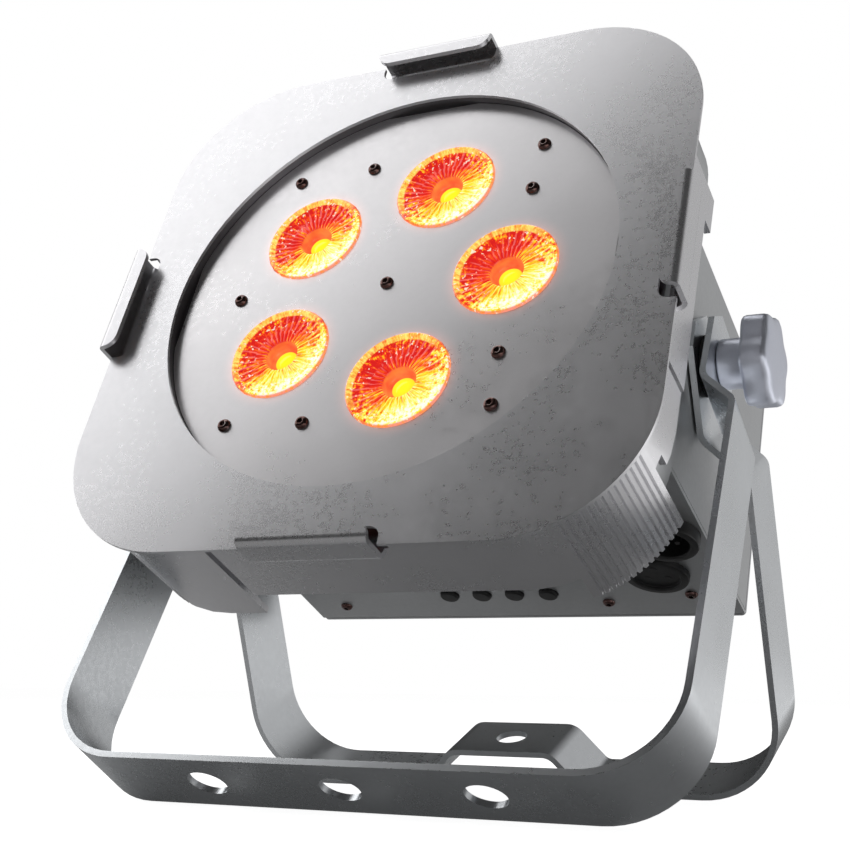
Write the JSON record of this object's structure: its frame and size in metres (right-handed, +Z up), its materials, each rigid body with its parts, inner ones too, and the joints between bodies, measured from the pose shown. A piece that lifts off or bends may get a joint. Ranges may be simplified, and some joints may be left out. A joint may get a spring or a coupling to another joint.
{
  "type": "par can light",
  "caption": "Flat LED par light with a square face, ring of lenses, fluted side shell, rear electronics box and a folding scissor yoke with hand knobs.",
  "frame": {"origin": "middle of the footprint, on the ground plane that both yokes stand on", "axes": "+X to the right seen from the front, -Y the way the lamp faces, +Z up"},
  "size_m": [0.2806, 0.253, 0.3275],
  "materials": {
    "bare_aluminium": "mill finish",
    "battery_wrap": "blue shrink wrap",
    "black_plastic": "black moulded plastic",
    "blackened_steel": "dark bronze blackened steel",
    "cable_jacket": "black cable jacket",
    "circuit_board": "green solder mask",
    "clear_lens": "clear moulded lens with radial ribs",
    "dark_paint": "dark satin paint",
    "display_window": "dark glossy window",
    "fibre_washer": "black friction washer",
    "grey_paint": "satin grey paint",
    "grey_plastic": "grey moulded plastic, fine grain",
    "led_phosphor": "yellow light-emitting dome; emissive, warm amber",
    "panel_paint": "satin pearl-grey paint",
    "pearl_paint": "satin pearl-grey paint",
    "white_board": "white solder mask",
    "yoke_paint": "satin silver-grey paint on flat steel bar"
  },
  "bodies": {
    "front_yoke": {"front_yoke": "yoke_paint", "pivot_washer_left": "fibre_washer", "pivot_washer_right": "fibre_washer"},
    "head": {"front_plate": "pearl_paint", "recess_ring": "dark_paint", "lens_panel": "panel_paint", "lens_1": "clear_lens", "lens_2": "clear_lens", "lens_3": "clear_lens", "lens_4": "clear_lens", "lens_5": "clear_lens", "led_emitter_1": "led_phosphor", "led_emitter_2": "led_phosphor", "led_emitter_3": "led_phosphor", "led_emitter_4": "led_phosphor", "led_emitter_5": "led_phosphor", "face_screw_1": "blackened_steel", "face_screw_2": "blackened_steel", "face_screw_3": "blackened_steel", "face_screw_4": "blackened_steel", "face_screw_5": "blackened_steel", "face_screw_6": "blackened_steel", "face_screw_7": "blackened_steel", "face_screw_8": "blackened_steel", "face_screw_9": "blackened_steel", "face_screw_10": "blackened_steel", "led_board": "white_board", "heat_sink": "bare_aluminium", "shell_bottom": "pearl_paint", "shell_right": "pearl_paint", "shell_top": "pearl_paint", "shell_left": "pearl_paint", "back_plate": "grey_paint", "rear_housing": "grey_paint", "control_panel": "grey_paint", "rear_cover": "grey_paint", "display_window": "display_window", "data_out_socket": "black_plastic", "data_in_socket": "black_plastic", "power_inlet": "black_plastic", "panel_screw_1": "blackened_steel", "panel_screw_2": "blackened_steel", "panel_screw_3": "blackened_steel", "battery_pack": "battery_wrap", "driver_board": "circuit_board", "led_cable": "cable_jacket", "pivot_bolt_left": "blackened_steel", "pivot_bolt_right": "blackened_steel"},
    "rear_yoke": {"rear_yoke": "yoke_paint"},
    "knob_left": {"knob_left": "grey_plastic"},
    "knob_right": {"knob_right": "grey_plastic"},
    "power_switch": {"power_switch": "black_plastic"},
    "menu_button_1": {"menu_button_1": "black_plastic"},
    "menu_button_2": {"menu_button_2": "black_plastic"},
    "menu_button_3": {"menu_button_3": "black_plastic"},
    "menu_button_4": {"menu_button_4": "black_plastic"}
  },
  "joints": [
    {"name": "head_tilt", "type": "hinge", "parent": "front_yoke", "child": "head", "pos_m": [0, 0.01094, 0.17797], "axis": [-1, 0, 0], "range_deg": [-35, 90]},
    {"name": "rear_yoke_swing", "type": "hinge", "parent": "front_yoke", "child": "rear_yoke", "pos_m": [0, 0.01094, 0.17797], "axis": [1, 0, 0], "range_deg": [-51, 40]},
    {"name": "knob_left_turn", "type": "hinge", "parent": "front_yoke", "child": "knob_left", "pos_m": [0, 0.01094, 0.17797], "axis": [-1, 0, 0], "continuous": true},
    {"name": "knob_right_turn", "type": "hinge", "parent": "front_yoke", "child": "knob_right", "pos_m": [0, 0.01094, 0.17797], "axis": [1, 0, 0], "continuous": true},
    {"name": "menu_button_1_press", "type": "slide", "parent": "head", "child": "menu_button_1", "axis": [0, 0.4131, 0.9107], "range_m": [0, 0.0008], "stiffness_N_per_m": 400},
    {"name": "menu_button_2_press", "type": "slide", "parent": "head", "child": "menu_button_2", "axis": [0, 0.4131, 0.9107], "range_m": [0, 0.0008], "stiffness_N_per_m": 400},
    {"name": "menu_button_3_press", "type": "slide", "parent": "head", "child": "menu_button_3", "axis": [0, 0.4131, 0.9107], "range_m": [0, 0.0008], "stiffness_N_per_m": 400},
    {"name": "menu_button_4_press", "type": "slide", "parent": "head", "child": "menu_button_4", "axis": [0, 0.4131, 0.9107], "range_m": [0, 0.0008], "stiffness_N_per_m": 400},
    {"name": "power_switch_rock", "type": "hinge", "parent": "head", "child": "power_switch", "pos_m": [-0.042, 0.0107, 0.11087], "axis": [-1, 0, 0], "range_deg": [0, 12]}
  ]
}
